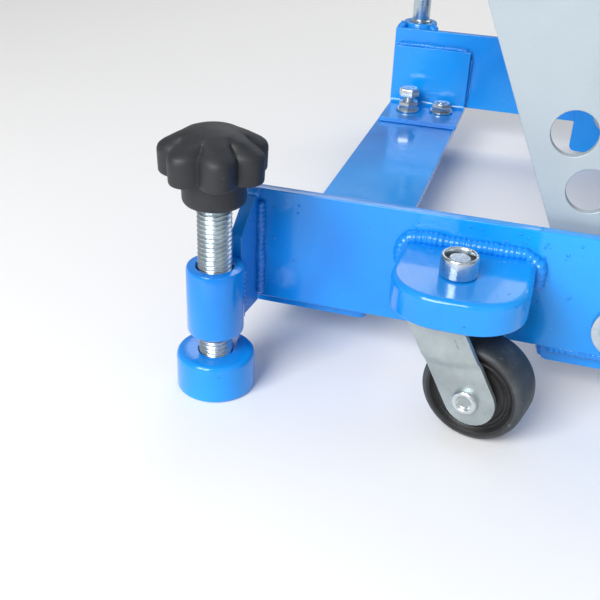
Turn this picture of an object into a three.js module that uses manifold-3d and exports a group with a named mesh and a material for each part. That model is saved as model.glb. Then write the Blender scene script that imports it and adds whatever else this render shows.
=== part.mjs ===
// Trolley floor jack with a parallelogram lift, built in millimetres with +Z up.
import * as THREE from 'three';
import { mergeVertices } from 'three/addons/utils/BufferGeometryUtils.js';
import Module from 'manifold-3d';

const wasm = await Module();
wasm.setup();

// driving dimensions
const gap = 0.3;             // clearance between neighbouring pieces
const frameLength = 620;
const railHeight = 65;
const railThick = 6;
const frameInner = 387.5;    // clear width between the two rails
const groundZ = -34;         // floor level below the rails' lower edge
const plateWidth = 67.5;     // cross plate and angle brackets
const doublerThick = 5.5;
const armThick = 4.5;
const armLength = 330;       // between pivot centres
const armHalf = 23;
const armLean = 113.2;       // degrees from +X at rest
const pivotA = [203, 17];
const pivotB = [frameLength - 117, 17];
const shaftR = 10;
const topShaftR = 8;
const crankLength = 95;
const crankAngle = 36.5;
const pushBarR = 12.5;
const ramTilt = 15;
const ramOffset = 89;
const cylinderR = 30;
const pistonR = 18;
const ramClearance = 1.4;
const screwR = 9;
const shankR = 7.7;          // plain upper part of the rear screw
const sleeveR = 15;
const sleeveHeight = 38;
const footR = 21;
const footHeight = 22;
const knobR = 27.5;
const hubR = 16.3;
const frontFoot = [-1.5, -43];
const hubBottomFront = 73;
const hubBottomRear = 94;
const casterX = 120;
const rearCasterX = 190;
const casterOut = 32;        // stem distance from the rail's outer face
const casterTop = 50;
const casterWheelR = 27;
const casterWheelHalf = 12;
const casterTrail = 18.5;
const casterSwivel = 14;     // degrees off the rail's line
const wheelR = 50;
const wheelX = frameLength - 34;
const axleR = 8;
const boltR = 5;
const platformBar = 50;

// derived places
const rearInner = railThick + frameInner;
const rearOuter = rearInner + railThick;
const innerFront = railThick + gap;
const innerRear = rearInner - gap;
const doublerFront = [innerFront, innerFront + doublerThick];
const doublerRear = [innerRear - doublerThick, innerRear];
const armFront = [doublerFront[1] + 1, doublerFront[1] + 1 + armThick];
const armRear = [doublerRear[0] - 1 - armThick, doublerRear[0] - 1];
const rearFoot = [18, rearOuter + sleeveR + gap];
const pumpX = frameLength - 60;
const middleY = (railThick + rearInner) / 2;
const radians = (degrees) => degrees * Math.PI / 180;
const armDir = [Math.cos(radians(armLean)), Math.sin(radians(armLean))];
const armSide = [armDir[1], -armDir[0]];
const alongArm = (pivot, u, v) => [
  pivot[0] + armDir[0] * u + armSide[0] * v, pivot[1] + armDir[1] * u + armSide[1] * v];
const topA = alongArm(pivotA, armLength, 0);
const topB = alongArm(pivotB, armLength, 0);
const crankDir = radians(armLean - crankAngle);
const crank = [pivotB[0] + crankLength * Math.cos(crankDir), pivotB[1] + crankLength * Math.sin(crankDir)];
const crankLocal = [crankLength * Math.cos(radians(crankAngle)), crankLength * Math.sin(radians(crankAngle))];

// materials
const paint = (color, metalness, roughness) => new THREE.MeshStandardMaterial({ color, metalness, roughness });
const blueEnamel = () => paint(0x2a8ae0, 0.1, 0.3);
const silverPaint = () => paint(0xc0cdd6, 0.4, 0.45);
const zincSteel = () => paint(0xc9d2d6, 0.9, 0.35);
const stampedSteel = () => paint(0xb2bec0, 0.8, 0.45);
const chromeRod = () => paint(0xe4e8ea, 1.0, 0.12);
const blackPlastic = () => paint(0x34383b, 0.0, 0.6);
const blackRubber = () => paint(0x26292b, 0.0, 0.8);
const darkSteel = () => paint(0x3c4044, 0.8, 0.5);

const group = new THREE.Group();
group.name = 'car_jack';

// closed solid from any closed three.js geometry
function solid(geometry) {
  const bare = geometry.clone();
  for (const name of Object.keys(bare.attributes)) if (name !== 'position') bare.deleteAttribute(name);
  const merged = mergeVertices(bare, 1e-4);
  const index = merged.index.array;
  const tris = [];
  for (let i = 0; i < index.length; i += 3) {
    const [a, b, c] = [index[i], index[i + 1], index[i + 2]];
    if (a !== b && b !== c && c !== a) tris.push(a, b, c);
  }
  return new wasm.Manifold(new wasm.Mesh({
    numProp: 3,
    vertProperties: new Float32Array(merged.attributes.position.array),
    triVerts: new Uint32Array(tris),
  }));
}

function place(name, body, material) {
  const mesh = body.getMesh();
  const geometry = new THREE.BufferGeometry();
  const positions = [];
  for (let i = 0; i < mesh.vertProperties.length; i += mesh.numProp) {
    positions.push(mesh.vertProperties[i], mesh.vertProperties[i + 1], mesh.vertProperties[i + 2]);
  }
  geometry.setAttribute('position', new THREE.Float32BufferAttribute(positions, 3));
  geometry.setIndex(Array.from(mesh.triVerts));
  const flat = geometry.toNonIndexed();
  flat.computeVertexNormals();
  const node = new THREE.Mesh(flat, material);
  node.name = name;
  group.add(node);
}

const join = (...bodies) => bodies.reduce((all, body) => all.add(body));
const cut = (body, ...tools) => tools.reduce((left, tool) => left.subtract(tool), body);

function box(x, y, z) {
  const g = new THREE.BoxGeometry(x[1] - x[0], y[1] - y[0], z[1] - z[0]);
  g.translate((x[0] + x[1]) / 2, (y[0] + y[1]) / 2, (z[0] + z[1]) / 2);
  return solid(g);
}

// outline of [a, b] points (or a THREE.Shape) pushed along one axis
function prism(outline, plane, from, to) {
  const shape = outline instanceof THREE.Shape ? outline : new THREE.Shape(outline.map((p) => new THREE.Vector2(p[0], p[1])));
  const g = new THREE.ExtrudeGeometry(shape, { depth: to - from, bevelEnabled: false, curveSegments: 4 });
  const m = new THREE.Matrix4();
  if (plane === 'xz') {
    m.makeBasis(new THREE.Vector3(1, 0, 0), new THREE.Vector3(0, 0, 1), new THREE.Vector3(0, -1, 0));
    g.applyMatrix4(m).translate(0, to, 0);
  } else if (plane === 'yz') {
    m.makeBasis(new THREE.Vector3(0, 1, 0), new THREE.Vector3(0, 0, 1), new THREE.Vector3(1, 0, 0));
    g.applyMatrix4(m).translate(from, 0, 0);
  } else {
    g.translate(0, 0, from);
  }
  return solid(g);
}

function circleShape(r, count) {
  const points = [];
  for (let i = 0; i < count; i += 1) {
    points.push(new THREE.Vector2(r * Math.cos(i / count * Math.PI * 2), r * Math.sin(i / count * Math.PI * 2)));
  }
  return new THREE.Shape(points);
}

// profile of [radius, height] points, counter-clockwise, spun round an axis through "at"
function turned(profile, axis, at, segments = 16) {
  const points = profile.map((p) => new THREE.Vector2(p[0], p[1]));
  if (profile[0][0] > 0) points.push(points[0].clone());
  const g = new THREE.LatheGeometry(points, segments);
  if (axis === 'z') g.rotateX(Math.PI / 2);
  if (axis === 'x') g.rotateZ(-Math.PI / 2);
  g.translate(at[0], at[1], at[2]);
  return solid(g);
}

const rod = (axis, at, r, from, to, segments = 16) => turned(
  [[0, from], [r, from], [r, to], [0, to]], axis, at, segments);
const ring = (axis, at, inner, outer, from, to, segments = 16) => turned(
  [[inner, from], [outer, from], [outer, to], [inner, to]], axis, at, segments);

// convex outline round a set of circles [x, y, r]
function hullOf(circles, count = 12) {
  const points = [];
  for (const [x, y, r] of circles) {
    for (let i = 0; i < count; i += 1) {
      const a = i / count * Math.PI * 2;
      points.push([x + r * Math.cos(a), y + r * Math.sin(a)]);
    }
  }
  points.sort((p, q) => p[0] - q[0] || p[1] - q[1]);
  const cross = (o, p, q) => (p[0] - o[0]) * (q[1] - o[1]) - (p[1] - o[1]) * (q[0] - o[0]);
  const half = (list) => {
    const out = [];
    for (const p of list) {
      while (out.length > 1 && cross(out[out.length - 2], out[out.length - 1], p) < 0.02) out.pop();
      out.push(p);
    }
    return out.slice(0, -1);
  };
  return [...half(points), ...half([...points].reverse())];
}

function roundedRect(a0, b0, a1, b1, r) {
  const shape = new THREE.Shape();
  shape.absarc(a1 - r, b0 + r, r, -Math.PI / 2, 0, false);
  shape.absarc(a1 - r, b1 - r, r, 0, Math.PI / 2, false);
  shape.absarc(a0 + r, b1 - r, r, Math.PI / 2, Math.PI, false);
  shape.absarc(a0 + r, b0 + r, r, Math.PI, Math.PI * 1.5, false);
  return shape;
}

const acrossHole = (at, r, segments = 16) => rod('y', [at[0], 0, at[1]], r, -30, rearOuter + 30, segments);

// base frame: rails, doublers, cross plate, angles, end member
function buildFrame() {
  const holes = [acrossHole(pivotA, shaftR + gap), acrossHole(pivotB, shaftR + gap),
    acrossHole([wheelX, groundZ + wheelR], axleR + gap)];
  const rail = (y0) => cut(box([0, frameLength], [y0, y0 + railThick], [0, railHeight]), ...holes);
  place('rail_front', rail(0), blueEnamel());
  place('rail_rear', rail(rearInner), blueEnamel());

  const right = pivotB[0] + 42;
  const left = pivotA[0] - 37;
  const lip = roundedRect(left, -11.5, right, 57, 3);
  place('doubler_front', cut(prism(lip, 'xz', ...doublerFront), holes[0], holes[1]), blueEnamel());
  const lug = hullOf([[left + 5, -20, 5], [left + 5, 52, 5], [right - 5, 52, 5], [right - 5, -3, 5],
    [pivotA[0] + 38, -20, 5]]);
  place('doubler_rear', cut(prism(lug, 'xz', ...doublerRear), holes[0], holes[1]), blueEnamel());

  const boltHoles = boltPlaces().map(([x, y]) => rod('z', [x, y, 0], boltR + gap, -20, 10, 16));
  const sheet = roundedRect(0, innerFront + 5.7, plateWidth, innerRear - 5.7, 4);
  place('cross_plate', cut(prism(sheet, 'xy', -10.3, -4.3), ...boltHoles), blueEnamel());

  const angle = (face, inward) => {
    const y = (d) => face + inward * d;
    const span = (a, b) => [Math.min(y(a), y(b)), Math.max(y(a), y(b))];
    const foot = box([2, plateWidth + 2], span(0, 54), [-4, 0]);
    const wall = box([2, plateWidth + 2], span(0, 6), [-4, 51]);
    const fillet = inward > 0
      ? [[y(6) - 0.5, -0.5], [y(6) + 5, -0.5], [y(6) + 1.5, 1.5], [y(6) - 0.5, 5]]
      : [[y(6) + 0.5, -0.5], [y(6) + 0.5, 5], [y(6) - 1.5, 1.5], [y(6) - 5, -0.5]];
    return cut(join(foot, wall, prism(fillet, 'yz', 2, plateWidth + 2)), ...boltHoles);
  };
  place('angle_front', angle(innerFront, 1), blueEnamel());
  place('angle_rear', angle(innerRear, -1), blueEnamel());

  const tubeWall = 3;
  const outer = box([wheelX - 30, wheelX + 30], [innerFront, innerRear], [0, 40]);
  const inner = box([wheelX - 30 + tubeWall, wheelX + 30 - tubeWall], [0, rearOuter], [tubeWall, 40 - tubeWall]);
  place('end_member', cut(outer, inner), blueEnamel());
}

function boltPlaces() {
  return [[22, rearInner - 27.5], [51, rearInner - 21.5], [22, railThick + 38], [51, railThick + 40]];
}

const hexagon = (x, y, r) => [0, 1, 2, 3, 4, 5].map((i) => [
  x + r * Math.cos(i * Math.PI / 3 + 0.2), y + r * Math.sin(i * Math.PI / 3 + 0.2)]);

// bolts through angle and plate; the first stands proud with a second hexagon above its nut
function buildBolts() {
  const names = ['bolt_rear_left', 'bolt_rear_right', 'bolt_front_left', 'bolt_front_right'];
  boltPlaces().forEach(([x, y], i) => {
    const shank = rod('z', [x, y, 0], boltR, -20, i === 0 ? 20 : 5, 16);
    const washer = rod('z', [x, y, 0], 10, gap, 2, 20);
    const nut = prism(hexagon(x, y, 9), 'xy', -17.6, -10.6);
    const head = prism(hexagon(x, y, 9), 'xy', 1.5, 8);
    const pieces = [shank, washer, nut, head];
    if (i === 0) pieces.push(prism(hexagon(x, y, 8.6), 'xy', 13.5, 20.5));
    place(names[i], join(...pieces), zincSteel());
  });
}

// levelling feet: sleeve on the frame, pad, screw and star knob
function buildFeet() {
  const [fx, fy] = frontFoot;
  const bottom = -0.5;
  const weldGap = 0.4;
  const toRail = [[-weldGap, railHeight - 0.5], [-7, railHeight - 3], [fy + sleeveR + weldGap, sleeveHeight + 10],
    [fy + sleeveR + weldGap, bottom], [-weldGap, bottom - 3]];
  place('gusset_front', prism(toRail.reverse(), 'yz', 0.5, 7.5), blueEnamel());
  const sleeve = (x, y, height) => ring('z', [x, y, 0], screwR + gap, sleeveR, 0, height);
  place('sleeve_front', sleeve(fx, fy, sleeveHeight), blueEnamel());
  place('sleeve_rear', sleeve(rearFoot[0], rearFoot[1], railHeight + 3), blueEnamel());
  foot('front', fx, fy, hubBottomFront);
  foot('rear', rearFoot[0], rearFoot[1], hubBottomRear);
}

function foot(end, x, y, hubBottom) {
  const top = groundZ + footHeight;
  const pad = turned([[0, groundZ], [footR - 1.5, groundZ], [footR, groundZ + 1.5], [footR, top - 3],
    [footR - 1, top - 1], [footR - 3, top], [screwR + gap, top], [screwR + gap, top - 10], [0, top - 10]],
  'z', [x, y, 0]);
  place(`foot_pad_${end}`, pad, blueEnamel());
  const screwTop = hubBottom + 24;
  const shank = end === 'rear' ? [[screwR, railHeight + 5], [shankR, railHeight + 6], [shankR, screwTop]]
    : [[screwR, screwTop]];
  const screw = turned([[0, top - 9.7], [screwR - 2, top - 9.7], [screwR, top - 7.7], ...shank, [0, screwTop]],
    'z', [x, y, 0]);
  place(`foot_screw_${end}`, screw, zincSteel());

  const star = [];
  for (let i = 0; i < 56; i += 1) {
    const a = i / 56 * Math.PI * 2;
    const r = knobR - 6 + 6 * Math.pow(0.5 + 0.5 * Math.cos(7 * a), 0.7);
    star.push([x + r * Math.cos(a), y + r * Math.sin(a)]);
  }
  const z = (h) => hubBottom + h;
  const dome = turned([[0, z(14)], [knobR - 2, z(14)], [knobR + 1, z(16)], [knobR + 1, z(28)], [knobR - 3, z(31.5)],
    [knobR - 10, z(35.8)], [knobR - 18, z(38.4)], [0, z(39.4)]], 'z', [x, y, 0], 28);
  const lobes = prism(star, 'xy', z(14), z(41)).intersect(dome);
  const hub = turned([[0, z(0)], [hubR - 1.5, z(0)], [hubR, z(2)], [hubR, z(17)], [0, z(17)]], 'z', [x, y, 0], 28);
  const bore = rod('z', [x, y, 0], screwR + gap, z(-1), screwTop + gap);
  place(`knob_${end}`, cut(join(lobes, hub), bore), blackPlastic());
}

// swivel casters under welded brackets; outward is -1 at the front rail, +1 at the rear one
function caster(end, stemX, outward) {
  const face = outward < 0 ? -gap : rearOuter + gap;
  const top = casterTop - 6;
  const cy = (outward < 0 ? 0 : rearOuter) + outward * casterOut;
  const far = (outward < 0 ? 0 : rearOuter) + outward * 60;
  const [low, high] = outward < 0 ? [far, face] : [face, far];
  const bracketShape = (inset) => {
    const shape = new THREE.Shape();
    const x0 = stemX - 32 + inset;
    const x1 = stemX + 36 - inset;
    const lo = outward < 0 ? low + inset : low + (inset ? 6 : 0);
    const hi = outward < 0 ? high - (inset ? 6 : 0) : high - inset;
    const r = 27 - inset;
    if (outward < 0) {
      shape.absarc(x1 - r, lo + r, r, -Math.PI / 2, 0, false);
      shape.lineTo(x1, hi);
      shape.lineTo(x0, hi);
      shape.absarc(x0 + r, lo + r, r, Math.PI, Math.PI * 1.5, false);
    } else {
      shape.absarc(x1 - r, hi - r, r, 0, Math.PI / 2, false);
      shape.absarc(x0 + r, hi - r, r, Math.PI / 2, Math.PI, false);
      shape.lineTo(x0, lo);
      shape.lineTo(x1, lo);
    }
    return shape;
  };
  const slab = prism(bracketShape(0), 'xy', casterTop - 17, casterTop);
  const pocket = prism(bracketShape(5), 'xy', casterTop - 18, top);
  const stemHole = rod('z', [stemX, cy, 0], 6 + gap, casterTop - 10, casterTop + 2, 20);
  place(`caster_bracket_${end}`, cut(slab, pocket, stemHole), blueEnamel());

  const crownTop = casterTop - 17.6;
  const stem = turned([[0, crownTop - 6.3], [9, crownTop - 6.3], [9, crownTop - 3.3], [6, crownTop - 3.3],
    [6, casterTop + 9], [0, casterTop + 9]], 'z', [stemX, cy, 0]);
  place(`caster_stem_${end}`, stem, zincSteel());
  place(`caster_nut_${end}`, ring('z', [stemX, cy, 0], 6 + gap, 9.2, casterTop + gap, casterTop + 11), zincSteel());

  // fork: crown, two legs and the riveted axle, drawn with its trail along +X and then swivelled
  const wheelZ = groundZ + casterWheelR;
  const crown = cut(rod('z', [0, 0, 0], 19.5, crownTop - 3, crownTop),
    rod('z', [0, 0, 0], 6 + gap, crownTop - 6, crownTop + 3, 20));
  const race = cut(rod('z', [0, 0, 0], 14, crownTop - 0.5, top - gap),
    rod('z', [0, 0, 0], 6 + gap, crownTop - 6, top + 3, 20));
  const legShape = hullOf([[casterTrail + 1.5, wheelZ, 13.5], [-17, crownTop - 1, 1], [12, crownTop - 1, 1]], 28);
  const legY = casterWheelHalf + 4;
  const leg = (s) => prism(legShape, 'xz', ...(s > 0 ? [legY, legY + 2.5] : [-legY - 2.5, -legY]));
  const bridge = cut(box([-18, 13], [-legY - 2.5, legY + 2.5], [crownTop - 3, crownTop]),
    rod('z', [0, 0, 0], 6 + gap, crownTop - 6, crownTop + 3, 20));
  const axle = rod('y', [casterTrail, 0, wheelZ], 4, -legY - 4.5, legY + 4.5, 20);
  const rivets = [1, -1].map((s) => rod('y', [casterTrail, 0, wheelZ], 6.5,
    ...(s > 0 ? [legY + 2, legY + 4.5] : [-legY - 4.5, -legY - 2]), 20));
  const yaw = (body) => body.rotate([0, 0, outward < 0 ? -casterSwivel : casterSwivel]).translate([stemX, cy, 0]);
  place(`caster_fork_${end}`, yaw(join(crown, race, bridge, leg(1), leg(-1), axle, ...rivets)), stampedSteel());

  const w = casterWheelHalf;
  const r = casterWheelR;
  const wheel = turned([[4 + gap, -w - 3.3], [9, -w - 3.3], [9, -w + 2.5], [r - 7, -w + 2.5], [r - 7, -w], [r - 3, -w],
    [r, -w + 4.5], [r, w - 4.5], [r - 3, w], [r - 7, w], [r - 7, w - 2.5], [9, w - 2.5], [9, w + 3.3],
    [4 + gap, w + 3.3]], 'y', [casterTrail, 0, wheelZ], 24);
  place(`caster_wheel_${end}`, yaw(wheel), blackRubber());
}

// fixed wheels on a through axle
function buildWheels() {
  const z = groundZ + wheelR;
  const at = [wheelX, 0, z];
  const a = axleR;
  const y0 = -44;
  const y1 = rearOuter + 44;
  place('wheel_axle', join(rod('y', at, a, y0, y1), rod('y', at, a + 5, y0, y0 + 4), rod('y', at, a + 5, y1 - 4, y1),
    rod('y', at, a + 5, -9.7, -gap), rod('y', at, a + 5, rearOuter + gap, rearOuter + 9.7)), zincSteel());
  const wheel = (y) => turned([[a + gap, y - 15], [a + 9, y - 15], [a + 9, y - 11], [wheelR - 16, y - 11],
    [wheelR - 16, y - 15], [wheelR - 5, y - 15], [wheelR, y - 9], [wheelR, y + 9], [wheelR - 5, y + 15],
    [wheelR - 16, y + 15], [wheelR - 16, y + 11], [a + 9, y + 11], [a + 9, y + 15], [a + gap, y + 15]], 'y', at, 24);
  place('wheel_front', wheel(-24.9), blackRubber());
  place('wheel_rear', wheel(rearOuter + 24.9), blackRubber());
}

// lifting arms, their shafts and the bar that the ram pushes
function buildArms() {
  const outlineA = hullOf([[...pivotA, armHalf], [...topA, armHalf], [...alongArm(pivotA, 150, 12), armHalf + 1]], 36);
  const lightening = [73, 103.5].map((u) => acrossHole(alongArm(pivotA, u, 0), 11.5, 32));
  const outlineB = hullOf([[...pivotB, armHalf], [...topB, armHalf], [...alongArm(pivotB, ...crankLocal), 20]], 36);
  const holeB = [170, 205].map((u) => acrossHole(alongArm(pivotB, u, 0), 11.5, 32));
  const arm = (outline, pivot, top, extra, span) => cut(prism(outline, 'xz', ...span),
    acrossHole(pivot, shaftR + gap), acrossHole(top, topShaftR + gap), ...extra);
  place('arm_a_front', arm(outlineA, pivotA, topA, lightening, armFront), silverPaint());
  place('arm_a_rear', arm(outlineA, pivotA, topA, lightening, armRear), silverPaint());
  place('arm_b_front', arm(outlineB, pivotB, topB, holeB, armFront), silverPaint());
  place('arm_b_rear', arm(outlineB, pivotB, topB, holeB, armRear), silverPaint());
  place('push_bar', rod('y', [crank[0], 0, crank[1]], pushBarR, armFront[1] + gap, armRear[0] - gap), silverPaint());

  place('shaft_a', rod('y', [pivotA[0], 0, pivotA[1]], shaftR, -4, rearOuter + 4), darkSteel());
  const endB = [pivotB[0], 0, pivotB[1]];
  place('shaft_b', join(rod('y', endB, shaftR, -4, rearOuter + 4), rod('y', endB, 15, -3.3, -gap),
    rod('y', endB, 15, rearOuter + gap, rearOuter + 3.3)), darkSteel());
  const washer = (name, at, from, to) => place(name,
    ring('y', [at[0], 0, at[1]], shaftR + gap, 15, from, to), zincSteel());
  washer('washer_a_front', pivotA, -3.3, -gap);
  washer('washer_a_rear', pivotA, rearOuter + gap, rearOuter + 3.3);
}

// level platform on the arms' upper shafts
function buildPlatform() {
  const half = platformBar / 2;
  const z = topA[1];
  const ends = [topA[0] - 40, topB[0] + 40];
  const holes = [acrossHole(topA, topShaftR + gap), acrossHole(topB, topShaftR + gap)];
  const bar = (from, to) => cut(prism(roundedRect(ends[0], z - half, ends[1], z + half, 12), 'xz', from, to), ...holes);
  place('platform_bar_front', bar(armFront[1] + 2, armFront[1] + 8), blueEnamel());
  place('platform_bar_rear', bar(armRear[0] - 8, armRear[0] - 2), blueEnamel());
  place('platform_shaft_a', rod('y', [topA[0], 0, z], topShaftR, armFront[0] - gap, armRear[1] + gap), zincSteel());
  place('platform_shaft_b', rod('y', [topB[0], 0, z], topShaftR, armFront[0] - gap, armRear[1] + gap), zincSteel());
  [['left', topA[0] + 55], ['right', topB[0] - 55]].forEach(([side, x]) => {
    const beamZ = z + half + gap;
    const beam = cut(box([x - 25, x + 25], [armFront[0], armRear[1]], [beamZ, beamZ + 30]),
      box([x - 22, x + 22], [0, rearOuter], [beamZ + 3, beamZ + 27]));
    place(`saddle_beam_${side}`, beam, blueEnamel());
    const pad = prism(roundedRect(x - 22, 40, x + 22, rearOuter - 40, 8), 'xy', beamZ + 30 + gap, beamZ + 40);
    place(`saddle_pad_${side}`, pad, blackRubber());
  });
}

// hydraulic ram in its cradle, with the pump, pipe, pedal and release knob
function buildRam() {
  const tilt = radians(ramTilt);
  const at = (s) => [pivotB[0] + s * Math.cos(tilt) - ramOffset * Math.sin(tilt), middleY,
    pivotB[1] + s * Math.sin(tilt) + ramOffset * Math.cos(tilt)];
  const inclined = (profile, segments = 32) => {
    const g = turned(profile, 'x', [0, 0, 0], segments);
    return g.rotate([0, -ramTilt, 0]).translate(at(0));
  };
  const low = -240;
  const high = -68;
  place('ram_cylinder', inclined([[0, low], [cylinderR, low], [cylinderR, high - 14], [cylinderR - 4, high - 12],
    [cylinderR - 4, high], [pistonR + gap, high], [pistonR + gap, low + 12], [0, low + 12]]), blueEnamel());
  const face = crankLength * Math.cos(crankDir - tilt) - pushBarR - ramClearance;
  place('ram_piston', inclined([[0, high - 74], [pistonR, high - 74], [pistonR, face - 9], [25, face - 9], [25, face],
    [0, face]]), chromeRod());

  const y = [middleY - 32, middleY + 32];
  const x = [pivotB[0] - 203, pivotB[0] - 153];
  const cradle = join(box(x, [doublerFront[1] + gap, doublerRear[0] - gap], [-8, 0]), box(x, y, [-0.5, 62]));
  place('ram_cradle', cut(cradle, inclined([[0, low - 20], [cylinderR + gap, low - 20], [cylinderR + gap, 0], [0, 0]])),
    blueEnamel());

  const port = at(low + 15);
  const path = new THREE.CatmullRomCurve3([
    [port[0], middleY - cylinderR - 0.4, port[2]], [port[0], middleY - 42, port[2]],
    [port[0] + 7, middleY - 54, port[2] + 3], [port[0] + 27, middleY - 60, port[2] + 10],
    [port[0] + 67, middleY - 60, 60], [pumpX - 60, middleY - 60, 60], [pumpX - 0.4, middleY - 60, 60],
  ].map((p) => new THREE.Vector3(...p)), false, 'centripetal');
  place('pump_pipe', solid(new THREE.ExtrudeGeometry(circleShape(4, 12),
    { steps: 26, extrudePath: path, curveSegments: 4, bevelEnabled: false })), zincSteel());

  buildPump();
}

function buildPump() {
  const pedalY = middleY - 15;
  const pivot = [pumpX + 12, 118];
  const plungerX = pumpX + 36;
  const valveY = middleY - 64.75;
  const ear = (y0) => prism(hullOf([[pivot[0], pivot[1], 10], [pivot[0] - 9, 96, 1], [pivot[0] + 9, 96, 1]]), 'xz',
    y0, y0 + 6);
  const block = join(box([pumpX, pumpX + 52], [middleY - 87.75, middleY + 8.25], [40 + gap, 96]), ear(pedalY - 11.3), ear(pedalY + 5.3));
  const bore = rod('z', [plungerX, pedalY, 0], 6 + gap, 48, 120, 20);
  const valveBore = rod('x', [pumpX, valveY, 68], 4 + gap, 38, 60, 20);
  const pinHole = rod('y', [pivot[0], 0, pivot[1]], 4 + gap, pedalY - 30, pedalY + 30, 20);
  place('pump_block', cut(block, bore, valveBore, pinHole), darkSteel());
  place('pump_plunger', rod('z', [plungerX, pedalY, 0], 6, 60, 111.4, 20), chromeRod());

  const lever = prism(roundedRect(pumpX + 2, 112, pumpX + 180, 124, 5.5), 'xz', pedalY - 5, pedalY + 5);
  const pin = rod('y', [pivot[0], 0, pivot[1]], 4, pedalY - 13, pedalY + 13, 20);
  const tread = prism(roundedRect(pumpX + 130, pedalY - 35, pumpX + 188, pedalY + 35, 8), 'xy', 123, 128);
  place('pump_pedal', join(lever, pin, tread), blueEnamel());

  const valve = turned([[0, 40], [4, 40], [4, 62], [12, 62], [13.5, 64], [13.5, 76], [12, 78], [0, 78]],
    'x', [pumpX, valveY, 68], 24);
  place('release_knob', valve, blackPlastic());
}

buildFrame();
buildBolts();
buildFeet();
caster('front', casterX, -1);
caster('rear', rearCasterX, 1);
buildWheels();
buildArms();
buildPlatform();
buildRam();

// origin at the middle of the footprint, on the floor
const bounds = new THREE.Box3().setFromObject(group);
const shift = [-(bounds.min.x + bounds.max.x) / 2, -(bounds.min.y + bounds.max.y) / 2, -bounds.min.z];
group.children.forEach((node) => node.geometry.translate(...shift));

export default group;
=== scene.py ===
import math
import random

import bmesh
import bpy
from mathutils import Matrix, Vector, noise


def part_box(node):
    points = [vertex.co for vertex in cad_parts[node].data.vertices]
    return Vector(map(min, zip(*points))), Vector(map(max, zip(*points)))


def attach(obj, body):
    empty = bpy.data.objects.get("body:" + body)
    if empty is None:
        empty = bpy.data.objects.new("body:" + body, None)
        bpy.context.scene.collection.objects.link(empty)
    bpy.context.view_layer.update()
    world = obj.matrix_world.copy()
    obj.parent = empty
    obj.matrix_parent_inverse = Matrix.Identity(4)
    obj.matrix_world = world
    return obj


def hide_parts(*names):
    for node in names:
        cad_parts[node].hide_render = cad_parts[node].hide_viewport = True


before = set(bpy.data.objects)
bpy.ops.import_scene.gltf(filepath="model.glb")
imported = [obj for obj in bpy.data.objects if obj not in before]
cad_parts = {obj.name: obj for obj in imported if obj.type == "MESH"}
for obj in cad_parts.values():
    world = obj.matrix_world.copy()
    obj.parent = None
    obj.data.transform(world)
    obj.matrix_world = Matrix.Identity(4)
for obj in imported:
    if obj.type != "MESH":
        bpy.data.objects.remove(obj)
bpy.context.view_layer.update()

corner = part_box("rail_front")[0]  # lower, outer, left corner of the near rail
mm = 0.001
random.seed(11)
noise.seed_set(11)  # without it the noise vectors of the weld beads follow the clock

# places on the frame, in millimetres from that corner
rearOuter = 399.5
middleY = 199.75
pivotA, pivotB = (203, 17), (503, 17)


def at(x, y, z):  # millimetres from that corner
    return corner + Vector((x, y, z)) * mm


view = {
    "place": (154.0, -432.2, 256.4), "lens": 55.2,
    "azimuth": 15.73, "elevation": 29.62, "roll": 2.42,
}
skyLight = {"colour": (1, 1, 1, 1), "strength": 0.36}


def addCamera():
    az, el, roll = (math.radians(view[k]) for k in ("azimuth", "elevation", "roll"))
    ahead = Vector((-math.sin(az) * math.cos(el), math.cos(az) * math.cos(el), -math.sin(el)))
    right = Vector((math.cos(az), math.sin(az), 0))
    up = right.cross(ahead)
    side = right * math.cos(roll) + up * math.sin(roll)
    top = up * math.cos(roll) - right * math.sin(roll)
    data = bpy.data.cameras.new("camera")
    data.lens = view["lens"]
    data.sensor_width = 36
    data.clip_start, data.clip_end = 0.01, 50
    cam = bpy.data.objects.new("camera", data)
    turn = Matrix((side, top, -ahead)).transposed()
    cam.matrix_world = Matrix.Translation(at(*view["place"])) @ turn.to_4x4()
    bpy.context.scene.collection.objects.link(cam)
    bpy.context.scene.camera = cam


def addLight(name, place, target, size, watts):
    data = bpy.data.lights.new(name, "AREA")
    data.shape = "RECTANGLE"
    data.size, data.size_y = size
    data.energy = watts
    lamp = bpy.data.objects.new(name, data)
    lamp.location = place
    lamp.rotation_mode = "QUATERNION"
    lamp.rotation_quaternion = (Vector(target) - Vector(place)).to_track_quat("-Z", "Y")
    bpy.context.scene.collection.objects.link(lamp)


def addWorld():
    world = bpy.data.worlds.new("studio")
    world.use_nodes = True
    sky = world.node_tree.nodes["Background"]
    sky.inputs["Color"].default_value = skyLight["colour"]
    sky.inputs["Strength"].default_value = skyLight["strength"]
    bpy.context.scene.world = world
    bpy.context.scene.view_settings.view_transform = "Standard"


class Wire:  # one socket, with arithmetic
    def __init__(self, finish, socket):
        self.finish, self.socket = finish, socket

    def maths(self, operation, a, b=0.0):
        return self.finish.node("ShaderNodeMath", {"operation": operation}, {0: a, 1: b})

    def __add__(self, other):
        return self.maths("ADD", self, other)

    def __mul__(self, other):
        return self.maths("MULTIPLY", self, other)

    def __sub__(self, other):
        return self.maths("SUBTRACT", self, other)

    def __rsub__(self, other):
        return self.maths("SUBTRACT", other, self)


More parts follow.
